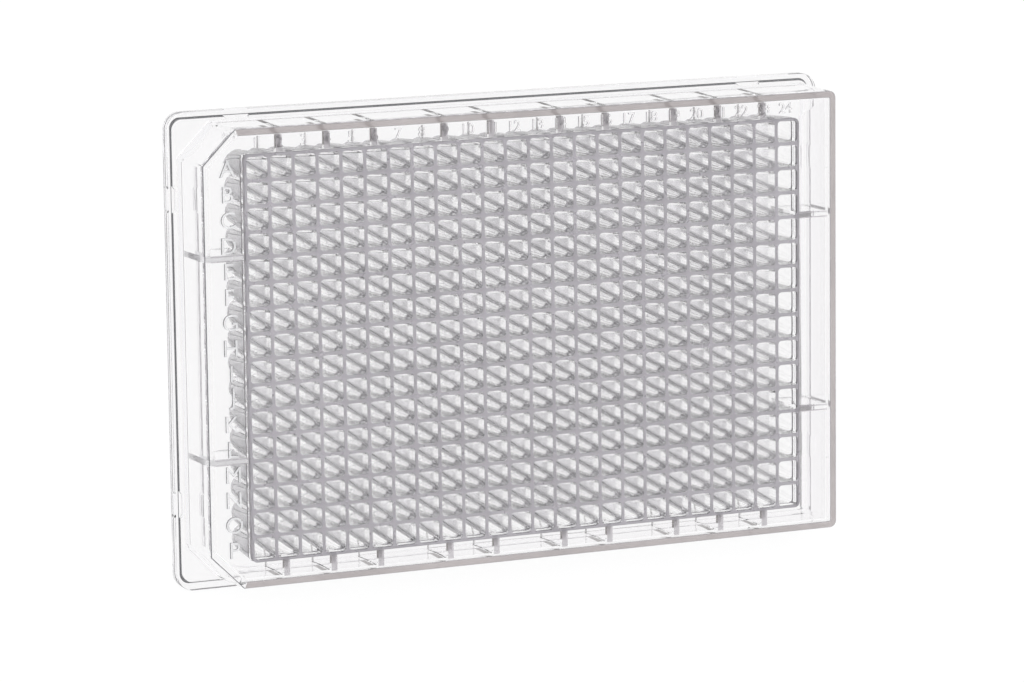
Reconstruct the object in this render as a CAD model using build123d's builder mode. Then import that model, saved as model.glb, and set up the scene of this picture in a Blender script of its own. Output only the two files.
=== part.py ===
"""384-well microplate, clear polystyrene, one moulded piece, wells up.

Origin: centre of the footprint on the base plane. +X runs along the columns 1 to 24,
+Y points to row A, +Z is up. Millimetres.
"""
import math
import os

from build123d import *

os.makedirs("parts", exist_ok=True)

# overall size
length = 127.76  # outside of the base flange along X
width = 85.48  # outside of the base flange along Y
height = 14.4  # base plane to the top of the well block

# well grid
columns = 24
rows = 16
pitch = 4.5  # centre to centre, both ways
well_top = 3.9  # square opening at the top
well_bottom = 2.8  # square at the floor, stands for a round floor 3.2 across
well_depth = 11.5
well_floor = 1.0  # solid under each well
block_edge = 0.3  # block side beyond the outermost grid line

# base flange and skirt
flange_height = 2.4
flange_corner = 3.18  # outside corner radius
skirt_foot = 1.75  # flange ledge: skirt set in from the footprint at the ledge
skirt_head = 2.1  # the same at the rim, the difference is moulding draft
skirt_corner = 1.6  # corner radius on the column 24 side
corner_cut = 6.1  # the two cut corners on the column 1 side
wall = 1.2  # thickness of skirt, rim and deck
recess_inset = 1.4  # stacking recess under the flange, set in from the footprint
recess_height = 1.2

# rim and deck
rim_drop = 0.2  # rim lies this far under the block top
rim_height = 0.8  # rim above the deck

# webs under the deck between skirt and block
web = 1.1  # thickness
web_columns = (2, 4, 6, 9, 11, 14, 16, 19, 21, 23)  # a web at each of these columns, both long sides
web_rows = (4, 12)  # a web after each of these rows, both short sides
web_bottom = 3.4  # height of the lower edge over the base plane

# coring at the corners where four wells meet, open from below
core_top = 3.2  # point of the hollow, under the block top
core_half = 1.3  # half diagonal at the underside

# stacking pads inside the recess, two on each side
pad_length = 4.5
pad_depth = 0.45
pad_from_end_x = 13.5  # centre from the end of the long side
pad_from_end_y = 15.5  # centre from the end of the short side

rim_top = height - rim_drop
deck_top = rim_top - rim_height
deck_under = deck_top - wall
block_under = height - well_depth - well_floor
block_length = columns * pitch + 2 * block_edge
block_width = rows * pitch + 2 * block_edge
skirt_draft = math.degrees(math.atan((skirt_head - skirt_foot) / (rim_top - flange_height)))
core_flat = core_half / math.sqrt(2)


def skirt_outline(inset, corner=0):
    """Outline set in from the footprint, cut at both corners of the column 1 side."""
    half_x = length / 2 - inset
    half_y = width / 2 - inset
    # a parallel offset keeps the cut face the same distance in
    cut = corner_cut + (skirt_head - inset) * (2 - math.sqrt(2))
    angles = (0, 30, 60, 90) if corner else (0,)
    bend = [
        (
            half_x - corner + corner * math.cos(math.radians(angle)),
            half_y - corner + corner * math.sin(math.radians(angle)),
        )
        for angle in angles
    ]
    if not corner:
        bend = [(half_x, half_y)]
    points = [(-half_x, -half_y + cut), (-half_x + cut, -half_y)]
    points += [(x, -y) for x, y in reversed(bend)]
    points += bend
    points += [(-half_x + cut, half_y), (-half_x, half_y - cut)]
    with BuildSketch() as outline:
        with BuildLine():
            Polyline(*points, close=True)
        make_face()
    return outline.sketch


with BuildPart() as hollow:
    # four-sided, point up, its corners on the lines between wells
    for turn in (45, 135):
        along = math.radians(turn)
        upright = Plane(
            origin=(0, 0, 0),
            x_dir=(math.cos(along), math.sin(along), 0),
            z_dir=(math.sin(along), -math.cos(along), 0),
        )
        with BuildSketch(upright):
            with BuildLine():
                Polyline(
                    (-core_flat, block_under),
                    (core_flat, block_under),
                    (0, height - core_top),
                    close=True,
                )
            make_face()
        extrude(amount=core_half, both=True, mode=Mode.ADD if turn == 45 else Mode.INTERSECT)


with BuildPart() as well:
    # four flat walls drawing in towards the floor
    for upright in (Plane.XZ, Plane.YZ):
        with BuildSketch(upright):
            with BuildLine():
                Polyline(
                    (-well_top / 2, height),
                    (well_top / 2, height),
                    (well_bottom / 2, height - well_depth),
                    (-well_bottom / 2, height - well_depth),
                    close=True,
                )
            make_face()
        mode = Mode.ADD if upright == Plane.XZ else Mode.INTERSECT
        extrude(amount=well_top, both=True, mode=mode)


with BuildPart() as plate:
    # base flange
    with BuildSketch():
        RectangleRounded(length, width, flange_corner)
    extrude(amount=flange_height)

    # skirt, up to the rim
    with BuildSketch(Plane.XY.offset(flange_height)):
        add(skirt_outline(skirt_foot, skirt_corner))
    extrude(amount=rim_top - flange_height, taper=skirt_draft)

    # hollow under the deck
    with BuildSketch(Plane.XY.offset(recess_height)):
        add(skirt_outline(skirt_foot + wall))
    extrude(amount=deck_under - recess_height, taper=skirt_draft, mode=Mode.SUBTRACT)

    # stacking recess at the foot
    with BuildSketch():
        Rectangle(length - 2 * recess_inset, width - 2 * recess_inset)
        pad_x = length / 2 - pad_from_end_x
        pad_y = width / 2 - pad_from_end_y
        with Locations(
            (pad_x, width / 2 - recess_inset),
            (-pad_x, width / 2 - recess_inset),
            (pad_x, -width / 2 + recess_inset),
            (-pad_x, -width / 2 + recess_inset),
        ):
            Rectangle(pad_length, 2 * pad_depth, mode=Mode.SUBTRACT)
        with Locations(
            (length / 2 - recess_inset, pad_y),
            (length / 2 - recess_inset, -pad_y),
            (-length / 2 + recess_inset, pad_y),
            (-length / 2 + recess_inset, -pad_y),
        ):
            Rectangle(2 * pad_depth, pad_length, mode=Mode.SUBTRACT)
    extrude(amount=recess_height, mode=Mode.SUBTRACT)

    # deck lies below the rim
    with BuildSketch(Plane.XY.offset(rim_top)):
        add(skirt_outline(skirt_head + wall))
    extrude(amount=-rim_height, mode=Mode.SUBTRACT)

    # well block
    with BuildSketch(Plane.XY.offset(block_under)):
        Rectangle(block_length, block_width)
    extrude(amount=height - block_under)

    # wells
    with GridLocations(pitch, pitch, columns, rows):
        add(well.part, mode=Mode.SUBTRACT)

    # hollows between the wells, open from below
    with GridLocations(pitch, pitch, columns + 1, rows + 1):
        add(hollow.part, mode=Mode.SUBTRACT)

    # webs on the long sides, from skirt to block
    web_reach_y = width / 2 - skirt_foot - wall / 2
    with BuildSketch(Plane.XY.offset(web_bottom)):
        for column in web_columns:
            x = (column - (columns + 1) / 2) * pitch
            with Locations((x, (web_reach_y + block_width / 2) / 2 - block_edge)):
                Rectangle(web, web_reach_y - block_width / 2 + 2 * block_edge)
            with Locations((x, -(web_reach_y + block_width / 2) / 2 + block_edge)):
                Rectangle(web, web_reach_y - block_width / 2 + 2 * block_edge)
    extrude(amount=deck_under - web_bottom)

    # webs on the short sides
    web_reach_x = length / 2 - skirt_foot - wall / 2
    with BuildSketch(Plane.XY.offset(web_bottom)):
        for row in web_rows:
            y = (rows / 2 - row) * pitch
            with Locations(((web_reach_x + block_length / 2) / 2 - block_edge, y)):
                Rectangle(web_reach_x - block_length / 2 + 2 * block_edge, web)
            with Locations((-(web_reach_x + block_length / 2) / 2 + block_edge, y)):
                Rectangle(web_reach_x - block_length / 2 + 2 * block_edge, web)
    extrude(amount=deck_under - web_bottom)

plate.part.label = "plate"
export_step(plate.part, "parts/plate.step")
print("plate volume", round(plate.part.volume, 1), "solids", len(plate.part.solids()))
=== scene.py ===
import math

import bpy
from mathutils import Matrix, Vector


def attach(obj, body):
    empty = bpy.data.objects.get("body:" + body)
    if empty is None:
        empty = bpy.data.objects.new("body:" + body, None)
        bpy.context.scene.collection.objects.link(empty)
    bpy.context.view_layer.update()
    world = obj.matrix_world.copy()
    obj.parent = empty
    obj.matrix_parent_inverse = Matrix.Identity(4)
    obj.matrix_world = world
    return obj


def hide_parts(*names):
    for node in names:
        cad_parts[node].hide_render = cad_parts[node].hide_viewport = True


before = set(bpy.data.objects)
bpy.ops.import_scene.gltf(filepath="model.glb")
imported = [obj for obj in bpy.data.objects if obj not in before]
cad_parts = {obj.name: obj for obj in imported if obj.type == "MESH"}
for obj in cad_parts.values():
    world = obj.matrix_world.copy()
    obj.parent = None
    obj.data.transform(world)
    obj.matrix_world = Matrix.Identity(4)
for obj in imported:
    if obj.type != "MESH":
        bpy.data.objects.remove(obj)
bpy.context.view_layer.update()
mm = 0.001

# material slots of the plate; all but the clear and well slots carry painted shade or painted light
clearSlot, landShadeSlot, rosyShadeSlot, wellSlot, darkShadeSlot, ribShadeSlot = range(6)
lineShadeSlot, lobeShadeSlot, midShadeSlot, shadeSlot, paintedLightSlot = range(6, 11)

# the well grid, which every piece follows
grid = {"columns": 24, "rows": 16, "pitch": 4.5}
grid["halfX"] = grid["columns"] * grid["pitch"] / 2
grid["halfY"] = grid["rows"] * grid["pitch"] / 2
columnX = [(i - (grid["columns"] - 1) / 2) * grid["pitch"] for i in range(grid["columns"])]
rowY = [((grid["rows"] - 1) / 2 - j) * grid["pitch"] for j in range(grid["rows"])]


# a closed surface put together from faces, where a face met twice lies inside and goes
class Surface:
    def __init__(self):
        self.stepsPerMm = 2000  # points in the same step are one point
        self.points = []
        self.index = {}
        self.faces = {}

    def point(self, p):
        key = tuple(round(v * self.stepsPerMm) for v in p)
        if key not in self.index:
            self.index[key] = len(self.points)
            self.points.append(p)
        return self.index[key]

    def face(self, corners, slot=0):
        order = []
        for i in [self.point(p) for p in corners]:
            if not order or order[-1] != i:
                order.append(i)
        if len(order) > 1 and order[0] == order[-1]:
            order.pop()
        if len(order) < 3:
            return
        key = tuple(sorted(order))
        if key in self.faces:
            del self.faces[key]
        else:
            self.faces[key] = (order, slot)

    def bridge(self, a, b, slot=0, slots=None):
        count = len(a)
        for i in range(count):
            j = (i + 1) % count
            self.face([a[j], a[i], b[i], b[j]], slots[i] if slots else slot)

    def cap(self, ring, middle, slot=0, flip=False):
        count = len(ring)
        for i in range(count):
            j = (i + 1) % count
            self.face([ring[j], ring[i], middle] if flip else [ring[i], ring[j], middle], slot)

    def build(self, name, materials):
        mesh = bpy.data.meshes.new(name)
        faces = list(self.faces.values())
        mesh.from_pydata([(x * mm, y * mm, z * mm) for x, y, z in self.points], [], [f[0] for f in faces])
        for m in materials:
            mesh.materials.append(m)
        mesh.polygons.foreach_set("material_index", [f[1] for f in faces])
        mesh.update()
        obj = bpy.data.objects.new(name, mesh)
        bpy.context.scene.collection.objects.link(obj)
        return obj


cell = {
    "blockTop": 14.4,
    "opening": 3.88,
    "floor": 3.5,  # width of the well at its floor
    "cornerTop": 0.62,
    "cornerBottom": 1.74,
    "lip": 0.1,  # rounding of the opening's edge
    "depth": 11.5,
    "under": 12.5,  # underside of a well below the top
    "apex": 2.7,  # hollows between wells start this far under the top
    "outside": ((2.8, 1.1), (12.5, 2.2)),  # depth and corner radius of a well from below
    "edge": 0.15,  # block side beyond the outermost grid line
    "blockCorner": 0.95,
    "arc": (0, 20, 45, 70, 90),  # degrees round a corner
    "strip": 0.4,  # flat beside each corner
}
# painted light and shade on the eight strips round a corner: a mid-grey painted band, paler painted shade
# and brighter painted light, standing in for the refraction in the rounded corners
plainCorner = (wellSlot,) * 8
shadedCorner = (shadeSlot,) * 2 + (wellSlot,) * 6
bandedTop = (wellSlot,) + (midShadeSlot,) * 5 + (paintedLightSlot,) * 2
bandedWall = (shadeSlot,) + (midShadeSlot,) * 2 + (paintedLightSlot,) * 5
# lower end of each stretch of wall, its corners towards row A, then towards row P
wallStretches = (
    (2.7, plainCorner, bandedTop),
    (7, shadedCorner, bandedWall),
    (cell["depth"], shadedCorner, bandedWall),
)
# the last column's walls all take the painted light
lastColumnCorner = (paintedLightSlot,) * 8


# square with round corners, counted the same way at every level
def squareRing(half, radii, z, x, y, grow=(0, 0, 0, 0)):
    ring = []
    for k in range(4):
        r = min(radii[k], half)
        c = half - r
        beside = max(0, c - cell["strip"])
        points = [(half, 0.0), (half, beside)]
        for turn in cell["arc"]:
            t = math.radians(turn)
            points.append((c + r * math.cos(t), c + r * math.sin(t)))
        points.append((beside, half))
        for px, py in points:
            for _ in range(k):
                px, py = -py, px
            px *= 1 + (grow[0] if px > 0 else grow[1]) / half
            py *= 1 + (grow[2] if py > 0 else grow[3]) / half
            ring.append((px + x, py + y, z))
    return ring


def wellBlock(surface):
    for i in range(grid["columns"]):
        for j in range(grid["rows"]):
            oneWell(surface, i, j)


def oneWell(surface, i, j):
    x, y, top = columnX[i], rowY[j], cell["blockTop"]
    half, mouth, lip = grid["pitch"] / 2, cell["opening"] / 2, cell["lip"]
    left, right = i == 0, i == grid["columns"] - 1
    upper, lower = j == 0, j == grid["rows"] - 1
    sides = (right, left, upper, lower)
    grow = tuple(cell["edge"] * side for side in sides)
    inner = tuple((cell["edge"] - lip) * side for side in sides)
    atCorners = (right and upper, left and upper, left and lower, right and lower)
    corners = [cell["blockCorner"] * corner for corner in atCorners]
    # land round the opening, then its rounded lip, both in a grey painted shade
    land = squareRing(half, corners, top, x, y, inner)
    ring = squareRing(mouth + lip, [cell["cornerTop"] + lip] * 4, top, x, y)
    surface.bridge(ring, land, landShadeSlot)
    for turn in (45, 90):
        t = math.radians(turn)
        out, down = lip * (1 - math.sin(t)), lip * (1 - math.cos(t))
        nextRing = squareRing(mouth + out, [cell["cornerTop"] + out] * 4, top - down, x, y)
        surface.bridge(nextRing, ring, landShadeSlot)
        ring = nextRing
    # walls, square above and round below
    for depth, towardA, towardP in wallStretches:
        if right:
            towardA = towardP = lastColumnCorner
        share = (depth - lip) / (cell["depth"] - lip)
        wide = mouth + (cell["floor"] / 2 - mouth) * share
        radius = cell["cornerTop"] + (cell["cornerBottom"] - cell["cornerTop"]) * share
        nextRing = squareRing(wide, [radius] * 4, top - depth, x, y)
        surface.bridge(nextRing, ring, slots=towardA + towardA[::-1] + towardP + towardP[::-1])
        ring = nextRing
    surface.cap(ring, (x, y, top - cell["depth"]), wellSlot)
    # outside of the well
    side = squareRing(half, corners, top - lip, x, y, grow)
    surface.bridge(land, side, landShadeSlot)
    ring = squareRing(half, corners, top - cell["apex"], x, y, grow)
    surface.bridge(side, ring, landShadeSlot)
    for depth, radius in cell["outside"]:
        nextRing = squareRing(half, [max(c, radius) for c in corners], top - depth, x, y, grow)
        surface.bridge(ring, nextRing, wellSlot)
        ring = nextRing
    surface.cap(ring, (x, y, top - cell["under"]), wellSlot, True)


tray = {
    "length": 127.76,
    "width": 85.48,
    "flangeHeight": 2.4,
    "flangeCorner": 3.18,
    "skirtFoot": 1.75,  # set in from the footprint at the flange
    "skirtHead": 2.1,  # the same at the rim
    "skirtCorner": 1.6,
    "cut": 6.1,  # the two cut corners on the column 1 side
    "wall": 1.2,
    "recess": 1.4,
    "recessHeight": 1.2,
    "rimTop": 14.2,
    "deckTop": 13.4,
    "deckUnder": 12.2,
    "bevel": 0.12,  # edges of the rim and the foot
    "shoulder": 0.035,  # point between a bevel's ends
    "flangeEdge": (0.2, 0.06),  # size of a bend and its middle point
    "footBend": (0.3, 0.09),
    "footDraft": 0.02,
    "deckBend": (0.25, 0.08),
    "recessEdge": 0.07,
    "recessBand": 0.2,
    "recessDraft": 0.05,
    "underBend": (0.3, 0.2),  # down the skirt and along the deck
    "cutCorner": 0.25,  # corner radius at the cuts
    "leastCorner": 0.3,  # smallest radius of the other corners
    "holeInset": 1,  # outline whose corners the block's opening follows
}


# corners of an outline replaced by arcs, each with its own radius
def rounded(corners, steps=5, mostOfSide=0.49):
    ring = []
    for i, (x, y, radius) in enumerate(corners):
        neighbours = (corners[i - 1], corners[(i + 1) % len(corners)])
        sides = [(sideX - x, sideY - y) for sideX, sideY, _ in neighbours]
        lengths = [math.hypot(*side) for side in sides]
        (ax, ay), (bx, by) = [(dx / far, dy / far) for (dx, dy), far in zip(sides, lengths)]
        angle = math.acos(max(-1, min(1, ax * bx + ay * by)))
        reach = min(radius / math.tan(angle / 2), min(lengths) * mostOfSide)
        fit = reach * math.tan(angle / 2)  # the radius that fits between the sides
        out = fit / math.sin(angle / 2) / math.hypot(ax + bx, ay + by)
        cx, cy = x + (ax + bx) * out, y + (ay + by) * out
        first = math.atan2(y + ay * reach - cy, x + ax * reach - cx)
        for k in range(steps + 1):
            turn = first + (math.pi - angle) * k / steps
            ring.append((cx + fit * math.cos(turn), cy + fit * math.sin(turn)))
    return ring


# eight-cornered outline at an inset from the footprint; the column 1 side may be cut
def outline(inset, z, cut=0, radius=0.4, bend=1.6):
    x = tray["length"] / 2 - inset
    y = tray["width"] / 2 - inset
    reach = bend * (2 - math.sqrt(2))
    right = [(x - reach, -y, bend), (x, -y + reach, bend), (x, y - reach, bend), (x - reach, y, bend)]
    if cut:
        left = [(-x + cut, y, radius), (-x, y - cut, radius), (-x, -y + cut, radius), (-x + cut, -y, radius)]
    else:
        left = [(-x + reach, y, bend), (-x, y - reach, bend), (-x, -y + reach, bend), (-x + reach, -y, bend)]
    return [(px, py, z) for px, py in rounded(left + right)]


def cutAt(inset):
    return tray["cut"] + (tray["skirtHead"] - inset) * (2 - math.sqrt(2))


def skirt(inset, z):
    bend = max(tray["leastCorner"], tray["skirtCorner"] - (inset - tray["skirtFoot"]))
    return outline(inset, z, cutAt(inset), tray["cutCorner"], bend)


def blockOpening(z):
    # the hole that the block fills, one corner point for each of the outline's
    points = []
    inset = tray["holeInset"]
    for px, py, _ in outline(inset, z, cutAt(inset), bend=inset):
        points.append((math.copysign(grid["halfX"], px), math.copysign(grid["halfY"], py), z))
    return points


def traySurface(surface):
    head, foot, wall = tray["skirtHead"], tray["skirtFoot"], tray["wall"]
    rim, deck, under = tray["rimTop"], tray["deckTop"], tray["deckUnder"]
    flange, corner, recess = tray["flangeHeight"], tray["flangeCorner"], tray["recess"]
    bevel, shoulder = tray["bevel"], tray["shoulder"]
    deckBend, deckMiddle = tray["deckBend"]
    footBend, footMiddle = tray["footBend"]
    flangeEdge, flangeMiddle = tray["flangeEdge"]
    band, chamfer = tray["recessBand"], tray["recessEdge"]
    down, along = tray["underBend"]
    slope = (head - foot) / (rim - flange)  # draft of the skirt
    inside = head + wall

    def flangeRing(inset, z, radius):
        return outline(inset, z, bend=radius)

    # painted shade: the rim's top takes a rosy grey copy of the plastic with darker lines at its bevels, the
    # foot's bevel a grey one and the recess's chamfer a dark one
    levels = [
        (blockOpening(deck), clearSlot),
        (skirt(inside + deckBend, deck), clearSlot),
        (skirt(inside + deckMiddle, deck + deckMiddle), clearSlot),
        (skirt(inside, deck + deckBend), clearSlot),
        (skirt(inside, rim - bevel), clearSlot),
        (skirt(inside - shoulder, rim - shoulder), rosyShadeSlot),
        (skirt(inside - bevel, rim), lineShadeSlot),
        (skirt(head + bevel + slope * bevel, rim), rosyShadeSlot),
        (skirt(head + shoulder, rim - shoulder), lineShadeSlot),
        (skirt(head - slope * bevel, rim - bevel), rosyShadeSlot),
        (skirt(foot + tray["footDraft"], flange + footBend), clearSlot),
        (skirt(foot - footMiddle, flange + footMiddle), clearSlot),
        (skirt(foot - footBend, flange), clearSlot),
        (flangeRing(flangeEdge, flange, corner - flangeEdge), clearSlot),
        (flangeRing(flangeMiddle, flange - flangeMiddle, corner - flangeMiddle), clearSlot),
        (flangeRing(0, flange - flangeEdge, corner), clearSlot),
        (flangeRing(0, bevel, corner), clearSlot),
        (flangeRing(shoulder, shoulder, corner), ribShadeSlot),
        (flangeRing(bevel, 0, corner - bevel), ribShadeSlot),
        (flangeRing(recess - band, 0, corner - recess), clearSlot),
        (flangeRing(recess - chamfer, 0, corner - recess), darkShadeSlot),
        (flangeRing(recess, chamfer, corner - recess), darkShadeSlot),
        (flangeRing(recess + tray["recessDraft"], tray["recessHeight"], corner - recess), clearSlot),
        (skirt(foot + wall, tray["recessHeight"]), clearSlot),
        (skirt(inside - slope * (rim - under), under - down), clearSlot),
        (skirt(inside + along, under), clearSlot),
        (blockOpening(under), clearSlot),
        (blockOpening(deck), clearSlot),
    ]
    for (above, _), (below, slot) in zip(levels, levels[1:]):
        surface.bridge(above, below, slot)


def box(surface, xs, ys, zs, taper=0.0, topSlot=clearSlot, bottomSlot=rosyShadeSlot):
    (x0, x1), (y0, y1), (z0, z1) = sorted(xs), sorted(ys), zs
    t = taper
    low = [(x0 + t, y0 + t, z0), (x1 - t, y0 + t, z0), (x1 - t, y1 - t, z0), (x0 + t, y1 - t, z0)]
    high = [(x0, y0, z1), (x1, y0, z1), (x1, y1, z1), (x0, y1, z1)]
    surface.face(list(reversed(low)), bottomSlot)
    surface.face(high, topSlot)
    surface.bridge(high, low)


webs = {
    "thick": 1.1,
    "columns": (2, 4, 6, 9, 11, 14, 16, 19, 21, 23),
    "rows": (4, 12),  # a web after each of these
    "bottom": 3.4,
    "taper": 0.05,
    "overlap": 0.3,  # into the deck
    "intoBlock": 0.1,
    "intoSkirt": 0.72,  # skirt left outside a web's end
    "markTop": 0.015,  # painted shade strips, where the webs show through the deck, stand this far over it
    "markWidth": 0.22,
    "markGap": cell["edge"] + 0.05,  # clear of the block's side
    "markEnd": 0.93,  # short of the web's outer end
}
pads = {
    "length": 4.5,
    "depth": 0.45,
    "fromEndX": 13.5,
    "fromEndY": 15.5,
    "spread": 0.15,  # foot of the sloping ends, beyond the length
    "slope": 0.35,  # head of the sloping ends, within the length
    "behind": 0.3,  # into the flange
    "behindEnds": 0.05,
    "levels": ((0, -0.1), (0.07, 0), (1.5, 0.06)),  # height and lean of the inner face
}


def websUnderDeck(surface):
    half = webs["thick"] / 2
    blockX, blockY = grid["halfX"] - webs["intoBlock"], grid["halfY"] - webs["intoBlock"]
    outX = tray["length"] / 2 - tray["skirtFoot"] - webs["intoSkirt"]
    outY = tray["width"] / 2 - tray["skirtFoot"] - webs["intoSkirt"]
    high = tray["deckUnder"] + webs["overlap"]
    body = (webs["bottom"], high)
    mark = (high, tray["deckTop"] + webs["markTop"])
    # painted shade strips, where the webs show through the deck, run from the block's edge to the rim
    nearX, nearY = grid["halfX"] + webs["markGap"], grid["halfY"] + webs["markGap"]
    farX, farY = outX - webs["markEnd"], outY - webs["markEnd"]
    for side in (1, -1):
        for column in webs["columns"]:
            x = columnX[column - 1]
            across = (x - half, x + half)
            box(surface, across, (side * blockY, side * outY), body, webs["taper"])
            box(surface, across, (side * nearY, side * farY), mark, 0, ribShadeSlot)
        for row in webs["rows"]:
            y = (grid["rows"] / 2 - row) * grid["pitch"]
            along = (side * blockX, side * outX)
            # painted shade: the row webs' undersides are darker grey on the +Y side and paler grey on the -Y
            # side
            underside = ribShadeSlot if side > 0 else midShadeSlot
            box(surface, along, (y - half, y + half), body, webs["taper"], bottomSlot=underside)
            along = (side * nearX, side * farX)
            for edge in (half, -half):
                inward = edge - math.copysign(webs["markWidth"], edge)
                box(surface, along, (y + edge, y + inward), mark, 0, ribShadeSlot)


# stacking pads with sloping ends, proud of the recess
def stackingPads(surface):
    n, d = pads["length"] / 2, pads["depth"]
    for along in ("x", "y"):
        wide, long = (tray["width"], tray["length"]) if along == "x" else (tray["length"], tray["width"])
        inner = wide / 2 - tray["recess"]
        at = long / 2 - pads["fromEndX" if along == "x" else "fromEndY"]
        end = -n - pads["spread"]
        shape = [(end, inner + pads["behind"]), (end, inner + pads["behindEnds"])]
        shape.append((-n + pads["slope"], inner - d))
        shape += [(-a, b) for a, b in reversed(shape)]
        for sx in (-1, 1):
            for sy in (-1, 1):
                rings = []
                for z, lean in pads["levels"]:
                    ring = []
                    for a, b in shape:
                        out = b - lean if b < inner else b
                        place = (sx * at + a, sy * out) if along == "x" else (sx * out, sy * at + a)
                        ring.append((*place, z))
                    rings.append(ring)
                turned = sy < 0 if along == "x" else sx > 0
                if turned:
                    rings = [list(reversed(ring)) for ring in rings]
                surface.face(list(reversed(rings[0])))
                surface.face(rings[2])
                surface.bridge(rings[1], rings[0])
                surface.bridge(rings[2], rings[1])


def link(tree, source, out, target, into):
    tree.links.new(source.outputs[out], target.inputs[into])


def surfaceNoise(tree, scale, detail=3.0):
    where = tree.nodes.new("ShaderNodeTexCoord")
    noise = tree.nodes.new("ShaderNodeTexNoise")
    noise.inputs["Scale"].default_value = scale
    noise.inputs["Detail"].default_value = detail
    link(tree, where, "Object", noise, "Vector")
    return noise


def spread(tree, source, out, low, high, fromLow=0.35, fromHigh=0.65):
    span = tree.nodes.new("ShaderNodeMapRange")
    span.inputs["From Min"].default_value = fromLow
    span.inputs["From Max"].default_value = fromHigh
    span.inputs["To Min"].default_value = low
    span.inputs["To Max"].default_value = high
    link(tree, source, out, span, "Value")
    return span


# clear finishes, one even colour
clearFinish = {"colour": (0.995, 0.99, 0.995, 1), "through": 1, "rough": (0.01, 0.03), "wave": 0.02}
wellFinish = {"colour": (1, 0.995, 1, 1), "through": 1, "rough": (0.03, 0.05), "wave": 0.03}
# painted light: a brighter copy of the well plastic for the wall strips where light shows through
paintedLightFinish = {"colour": (1, 1, 1, 1), "through": 1, "rough": (0.01, 0.03), "wave": 0.03}
# greyer finishes, their colour a little uneven; all but the frost are painted shade, copies of the plastic
# standing in for the shading its refraction gives
# painted shade: grey for the land and lips between the wells, standing in for the shade that refraction
# gives them
landShadeFinish = {"colour": (0.3, 0.285, 0.31, 1), "through": 0.4, "rough": (0.25, 0.45), "wave": 0.06}
# painted shade: rosy grey for the rim's top and the undersides of the column webs, and darker grey for the
# rim's bevel lines
rosyShadeFinish = {"colour": (0.34, 0.308, 0.305, 1), "through": 0.42, "rough": (0.1, 0.2), "wave": 0.05}
lineShadeFinish = {"colour": (0.27, 0.26, 0.27, 1), "through": 0.4, "rough": (0.15, 0.3), "wave": 0.05}
# painted shade: near black lines at the recess's chamfer, the rim's outer edge on the column 1 side and the
# sides of the row letters
darkShadeFinish = {"colour": (0.09, 0.09, 0.10, 1), "through": 0.35, "rough": (0.1, 0.2), "wave": 0.05}
# painted shade: grey for the foot's bevel, the strips over the webs and the undersides of the row webs on
# the +Y side
ribShadeFinish = {"colour": (0.45, 0.43, 0.45, 1), "through": 0.5, "rough": (0.2, 0.4), "wave": 0.1}
# painted shade: grey for the outsides of the outermost wells at column 1 and row A
lobeShadeFinish = {"colour": (0.70, 0.69, 0.71, 1), "through": 0.75, "rough": (0.12, 0.25), "wave": 0.05}
# painted shade: a mid-grey copy of the well plastic for the band by the corners towards row P, and a pale
# one for shaded stretches of wall
midShadeFinish = {"colour": (0.72, 0.71, 0.735, 1), "through": 0.84, "rough": (0.1, 0.2), "wave": 0.05}
shadeFinish = {"colour": (0.88, 0.87, 0.895, 1), "through": 0.98, "rough": (0.1, 0.2), "wave": 0.05}
frostFinish = {"colour": (0.93, 0.93, 0.94, 1), "through": 0.55, "rough": (0.2, 0.3), "wave": 0.03}
moulding = {
    "ior": 1.45,
    "fineScale": 260,  # noise behind the roughness
    "flowScale": 45,  # noise behind the waves
    "flowHeight": 0.0005,
    "toneScale": 90,  # noise behind the greyer finishes' colour
    "toneDrop": 0.86,
}


def plastic(name, finish):
    material = bpy.data.materials.new(name)
    material.use_nodes = True
    tree = material.node_tree
    shader = tree.nodes["Principled BSDF"]
    shader.inputs["Base Color"].default_value = finish["colour"]
    shader.inputs["Transmission Weight"].default_value = finish["through"]
    shader.inputs["IOR"].default_value = moulding["ior"]
    fine = surfaceNoise(tree, moulding["fineScale"])
    link(tree, spread(tree, fine, "Fac", *finish["rough"]), "Result", shader, "Roughness")
    flow = surfaceNoise(tree, moulding["flowScale"], 1.0)
    bump = tree.nodes.new("ShaderNodeBump")
    bump.inputs["Strength"].default_value = finish["wave"]
    bump.inputs["Distance"].default_value = moulding["flowHeight"]
    link(tree, flow, "Fac", bump, "Height")
    link(tree, bump, "Normal", shader, "Normal")
    return material


def unevenPlastic(name, finish):
    material = plastic(name, finish)
    tree = material.node_tree
    tone = surfaceNoise(tree, moulding["toneScale"])
    mix = tree.nodes.new("ShaderNodeMix")
    mix.data_type = "RGBA"
    mix.inputs["A"].default_value = finish["colour"]
    mix.inputs["B"].default_value = tuple(c * moulding["toneDrop"] for c in finish["colour"][:3]) + (1,)
    link(tree, spread(tree, tone, "Fac", 0, 1), "Result", mix, "Factor")
    link(tree, mix, "Result", tree.nodes["Principled BSDF"], "Base Color")
    return material


# one closed surface from the block, the tray and the webs
def joined(name, surfaces, materials):
    main = surfaces[0].build(name, materials)
    for k, part in enumerate(surfaces[1:]):
        other = part.build(name + str(k), materials)
        step = main.modifiers.new("join" + str(k), "BOOLEAN")
        step.operation = "UNION"
        step.solver = "MANIFOLD"
        step.object = other
        graph = bpy.context.evaluated_depsgraph_get()
        mesh = bpy.data.meshes.new_from_object(main.evaluated_get(graph))
        main.modifiers.clear()
        main.data = mesh
        bpy.data.objects.remove(other)
    return main


smoothing = {"sharpAngle": 32, "from": cell["edge"] + 0.05}  # from here on, beyond the grid


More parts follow.
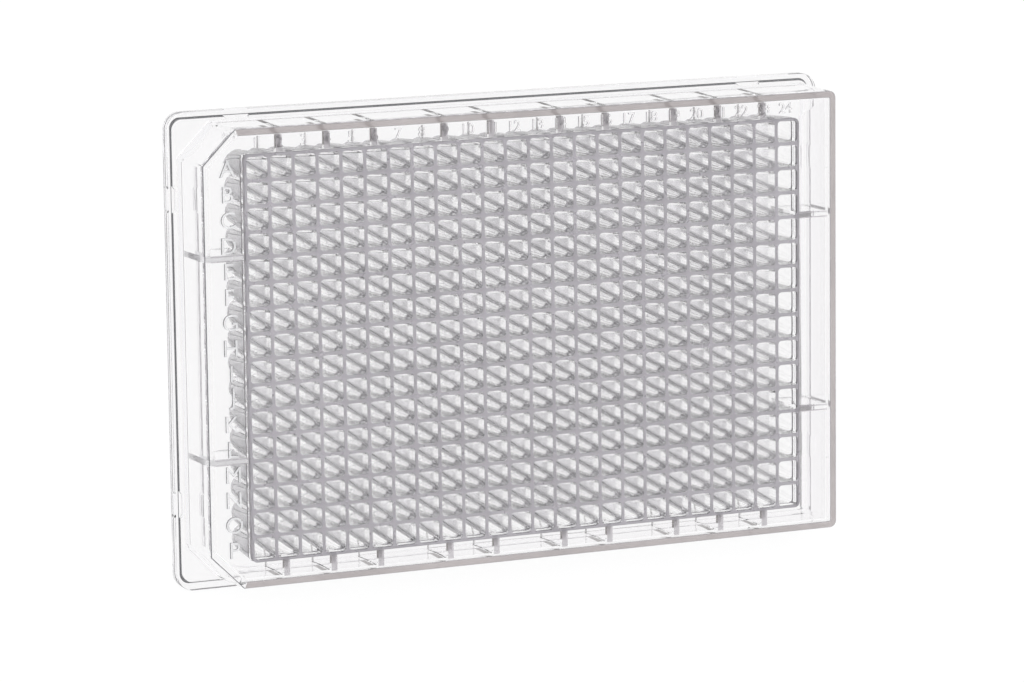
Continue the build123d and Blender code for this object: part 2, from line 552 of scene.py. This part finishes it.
# the tray's bends are smooth, the wells keep their facets
def smoothTray(obj):
    x = (grid["halfX"] + smoothing["from"]) * mm
    y = (grid["halfY"] + smoothing["from"]) * mm
    obj.data.set_sharp_from_angle(angle=math.radians(smoothing["sharpAngle"]))
    for face in obj.data.polygons:
        face.use_smooth = abs(face.center.x) > x or abs(face.center.y) > y


# where the painted shade on the lobes and on the column 1 rim lies
shadeZones = {
    "lobeInset": 0.25,  # from the outermost grid line inwards
    "rimMargin": 0.3,
    "rimStrip": 0.14,  # just wider than the rim's bevel
}


# painted shade: the outsides of the outermost wells at column 1 and row A take a greyer copy of the plastic,
# standing in for the shading of their rounded sides
def paintLobeShade(obj):
    x, y = grid["halfX"] - shadeZones["lobeInset"], grid["halfY"] - shadeZones["lobeInset"]
    for face in obj.data.polygons:
        c = face.center / mm
        if face.material_index == wellSlot and (c.x < -x or c.y > y):
            face.material_index = lobeShadeSlot


# painted shade on the rim: on the column 1 side its faces go clear and its outer edge takes a dark painted
# shade line, while the other sides keep the rosy painted shade
def clearColumnOneRim(obj):
    side = tray["length"] / 2 - tray["cut"] - tray["skirtHead"] - shadeZones["rimMargin"]
    strip = shadeZones["rimStrip"]
    x = tray["length"] / 2 - tray["skirtHead"] - strip
    y = tray["width"] / 2 - tray["skirtHead"] - strip
    cut = x + y - tray["cut"] + strip * (2 - math.sqrt(2))
    for face in obj.data.polygons:
        c = face.center / mm
        if face.material_index in (rosyShadeSlot, lineShadeSlot) and c.x < -side and c.z > tray["deckTop"]:
            outer = -c.x > x or abs(c.y) > y or -c.x + abs(c.y) > cut
            face.material_index = darkShadeSlot if outer else clearSlot


clearPlastic = plastic("clearPlastic", clearFinish)
darkShadePlastic = unevenPlastic("darkPaintedShade", darkShadeFinish)
midShadePlastic = unevenPlastic("wellMidShade", midShadeFinish)
finishes = {
    clearSlot: clearPlastic,
    wellSlot: plastic("wellPlastic", wellFinish),
    landShadeSlot: unevenPlastic("wellLandShade", landShadeFinish),
    rosyShadeSlot: unevenPlastic("rosyPaintedShade", rosyShadeFinish),
    darkShadeSlot: darkShadePlastic,
    ribShadeSlot: unevenPlastic("ribs", ribShadeFinish),
    lineShadeSlot: unevenPlastic("rimLineShade", lineShadeFinish),
    lobeShadeSlot: unevenPlastic("wellOutsideShade", lobeShadeFinish),
    midShadeSlot: midShadePlastic,
    shadeSlot: unevenPlastic("wellShade", shadeFinish),
    paintedLightSlot: plastic("wellPaintedLight", paintedLightFinish),
}
print("finishes", len(finishes))

block, rimAndSkirt, ribs = Surface(), Surface(), Surface()
wellBlock(block)
print("wells", len(block.faces))
traySurface(rimAndSkirt)
print("tray", len(rimAndSkirt.faces))
websUnderDeck(ribs)
stackingPads(ribs)
print("webs and pads", len(ribs.faces))
plate = joined("wellPlate", [block, rimAndSkirt, ribs], [finishes[slot] for slot in sorted(finishes)])
smoothTray(plate)
clearColumnOneRim(plate)
paintLobeShade(plate)
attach(plate, "root")
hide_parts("plate")
print("plate", len(plate.data.polygons))

# raised marks on the deck
marks = {
    "height": 0.36,
    "sink": 0.03,  # into the deck
    "rowSize": 4.2,
    "rowX": -57.05,
    "columnSize": 2.75,
    "columnY": 38.0,
    "curveSteps": 4,
}


def oneMark(name, word, size, x, y):
    curve = bpy.data.curves.new(name, "FONT")
    curve.body = word
    curve.size = size * mm
    curve.extrude = (marks["height"] + marks["sink"]) / 2 * mm
    curve.resolution_u = marks["curveSteps"]
    text = bpy.data.objects.new(name, curve)
    bpy.context.scene.collection.objects.link(text)
    graph = bpy.context.evaluated_depsgraph_get()
    mesh = bpy.data.meshes.new_from_object(text.evaluated_get(graph))
    bpy.data.objects.remove(text)
    low = [min(v.co[k] for v in mesh.vertices) for k in range(3)]
    high = [max(v.co[k] for v in mesh.vertices) for k in range(3)]
    shift = Vector((x * mm - (low[0] + high[0]) / 2, y * mm - (low[1] + high[1]) / 2, 0))
    shift.z = (tray["deckTop"] - marks["sink"]) * mm - low[2]
    mesh.transform(Matrix.Translation(shift))
    return mesh


def lettering(name, words, size, places, tops, sides):
    points, faces, slots = [], [], []
    for word, (x, y) in zip(words, places):
        mesh = oneMark(name, word, size, x, y)
        first = len(points)
        points += [tuple(v.co) for v in mesh.vertices]
        faces += [[first + i for i in f.vertices] for f in mesh.polygons]
        # painted shade: the sides of the letters and numbers take the second, darker material
        slots += [1 if abs(f.normal.z) < 0.5 else 0 for f in mesh.polygons]
    whole = bpy.data.meshes.new(name)
    whole.from_pydata(points, [], faces)
    whole.materials.append(tops)
    whole.materials.append(sides)
    whole.polygons.foreach_set("material_index", slots)
    obj = bpy.data.objects.new(name, whole)
    bpy.context.scene.collection.objects.link(obj)
    print(name, len(faces))
    return obj


rowNames = [chr(ord("A") + j) for j in range(grid["rows"])]
rowPlaces = [(marks["rowX"], y) for y in rowY]
letterTops = unevenPlastic("letterTops", frostFinish)
rowLetters = lettering("rowLetters", rowNames, marks["rowSize"], rowPlaces, letterTops, darkShadePlastic)
columnNames = [str(i + 1) for i in range(grid["columns"])]
columnPlaces = [(x, marks["columnY"]) for x in columnX]
numbers = lettering(
    "columnNumbers", columnNames, marks["columnSize"], columnPlaces, clearPlastic, midShadePlastic
)
for piece in (rowLetters, numbers):
    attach(piece, "root")

# the floor, the room's light and the camera
ground = {
    "size": 6.0,
    "under": 0.0001,
    "colour": (0.93, 0.93, 0.935, 1),
    "rough": 0.5,
    "shine": 0.2,
    "glow": 0.9,
}
air = {
    "above": (0.1, 0.1, 0.105, 1),
    "horizon": (0.3, 0.3, 0.31, 1),
    "aboveFrom": 0.7,
    "fill": (1.0, 1.0, 1.01, 1),
    "mirrored": (0.93, 0.93, 0.94, 1),
}
softbox = {"size": 1.2, "place": (-0.5, 0.6, 1.3), "power": 16}
shot = {
    "azimuth": 157.885,
    "elevation": 64.243,
    "roll": 109.4,
    "distance": 886.78,
    "lens": 172.84,
    "aim": (-0.39, -1.88, 7.0),
    "sensor": 36,
    "near": 0.01,
}
bounces = {"all": 32, "through": 32, "mirrored": 16}


def seenRays(tree):
    # camera, glossy and transmission rays
    path = tree.nodes.new("ShaderNodeLightPath")
    total = path.outputs["Is Camera Ray"]
    for name in ("Is Glossy Ray", "Is Transmission Ray"):
        add = tree.nodes.new("ShaderNodeMath")
        add.operation = "MAXIMUM"
        tree.links.new(total, add.inputs[0])
        tree.links.new(path.outputs[name], add.inputs[1])
        total = add.outputs[0]
    return total


def paleFloor():
    half = ground["size"] / 2
    mesh = bpy.data.meshes.new("floor")
    z = -ground["under"]
    corners = [(-half, -half, z), (half, -half, z), (half, half, z), (-half, half, z)]
    mesh.from_pydata(corners, [], [(0, 1, 2, 3)])
    floor = bpy.data.objects.new("floor", mesh)
    bpy.context.scene.collection.objects.link(floor)
    material = bpy.data.materials.new("paleFloor")
    material.use_nodes = True
    tree = material.node_tree
    shader = tree.nodes["Principled BSDF"]
    shader.inputs["Base Color"].default_value = ground["colour"]
    shader.inputs["Roughness"].default_value = ground["rough"]
    shader.inputs["Specular IOR Level"].default_value = ground["shine"]
    glow = tree.nodes.new("ShaderNodeEmission")
    share = tree.nodes.new("ShaderNodeMath")
    share.operation = "MULTIPLY"
    share.inputs[1].default_value = ground["glow"]
    tree.links.new(seenRays(tree), share.inputs[0])
    mix = tree.nodes.new("ShaderNodeMixShader")
    link(tree, share, "Value", mix, "Fac")
    tree.links.new(shader.outputs["BSDF"], mix.inputs[1])
    tree.links.new(glow.outputs["Emission"], mix.inputs[2])
    link(tree, mix, "Shader", tree.nodes["Material Output"], "Surface")
    mesh.materials.append(material)
    return floor


def surroundings():
    world = bpy.data.worlds.new("room")
    bpy.context.scene.world = world
    world.use_nodes = True
    tree = world.node_tree
    back = tree.nodes["Background"]
    where = tree.nodes.new("ShaderNodeTexCoord")
    split = tree.nodes.new("ShaderNodeSeparateXYZ")
    link(tree, where, "Generated", split, "Vector")
    height = spread(tree, split, "Z", 0, 1, 0.0, air["aboveFrom"])
    sky = tree.nodes.new("ShaderNodeMix")
    sky.data_type = "RGBA"
    link(tree, height, "Result", sky, "Factor")
    sky.inputs["A"].default_value = air["horizon"]
    sky.inputs["B"].default_value = air["above"]
    colour = tree.nodes.new("ShaderNodeMix")
    colour.data_type = "RGBA"
    tree.links.new(seenRays(tree), colour.inputs["Factor"])
    colour.inputs["A"].default_value = air["fill"]
    link(tree, sky, "Result", colour, "B")
    # the pale room mirrored by the outer faces
    mirrored = tree.nodes.new("ShaderNodeMix")
    mirrored.data_type = "RGBA"
    path = tree.nodes.new("ShaderNodeLightPath")
    link(tree, path, "Is Glossy Ray", mirrored, "Factor")
    link(tree, colour, "Result", mirrored, "A")
    mirrored.inputs["B"].default_value = air["mirrored"]
    link(tree, mirrored, "Result", back, "Color")


def softLamp():
    data = bpy.data.lights.new("softbox", "AREA")
    data.shape = "SQUARE"
    data.size = softbox["size"]
    data.energy = softbox["power"]
    lamp = bpy.data.objects.new("softbox", data)
    lamp.location = softbox["place"]
    lamp.rotation_mode = "QUATERNION"
    lamp.rotation_quaternion = (-lamp.location).to_track_quat("-Z", "Y")
    lamp.visible_transmission = False
    bpy.context.scene.collection.objects.link(lamp)


def camera():
    azimuth, elevation, roll = (math.radians(shot[k]) for k in ("azimuth", "elevation", "roll"))
    flat = math.cos(elevation)
    back = Vector((math.cos(azimuth) * flat, math.sin(azimuth) * flat, math.sin(elevation)))
    level = (-back).cross(Vector((0, 0, 1))).normalized()
    high = level.cross(-back)
    right = level * math.cos(roll) + high * math.sin(roll)
    up = high * math.cos(roll) - level * math.sin(roll)
    data = bpy.data.cameras.new("camera")
    data.sensor_width = shot["sensor"]
    data.lens = shot["lens"]
    data.clip_start = shot["near"]
    eye = bpy.data.objects.new("camera", data)
    spot = Vector(shot["aim"]) * mm + back * shot["distance"] * mm
    eye.matrix_world = Matrix.Translation(spot) @ Matrix((right, up, back)).transposed().to_4x4()
    bpy.context.scene.collection.objects.link(eye)
    bpy.context.scene.camera = eye


paleFloor()
surroundings()
softLamp()
camera()
print("floor, light and camera")
scene = bpy.context.scene
scene.view_settings.view_transform = "Standard"
scene.cycles.max_bounces = bounces["all"]
scene.cycles.transmission_bounces = bounces["through"]
scene.cycles.glossy_bounces = bounces["mirrored"]
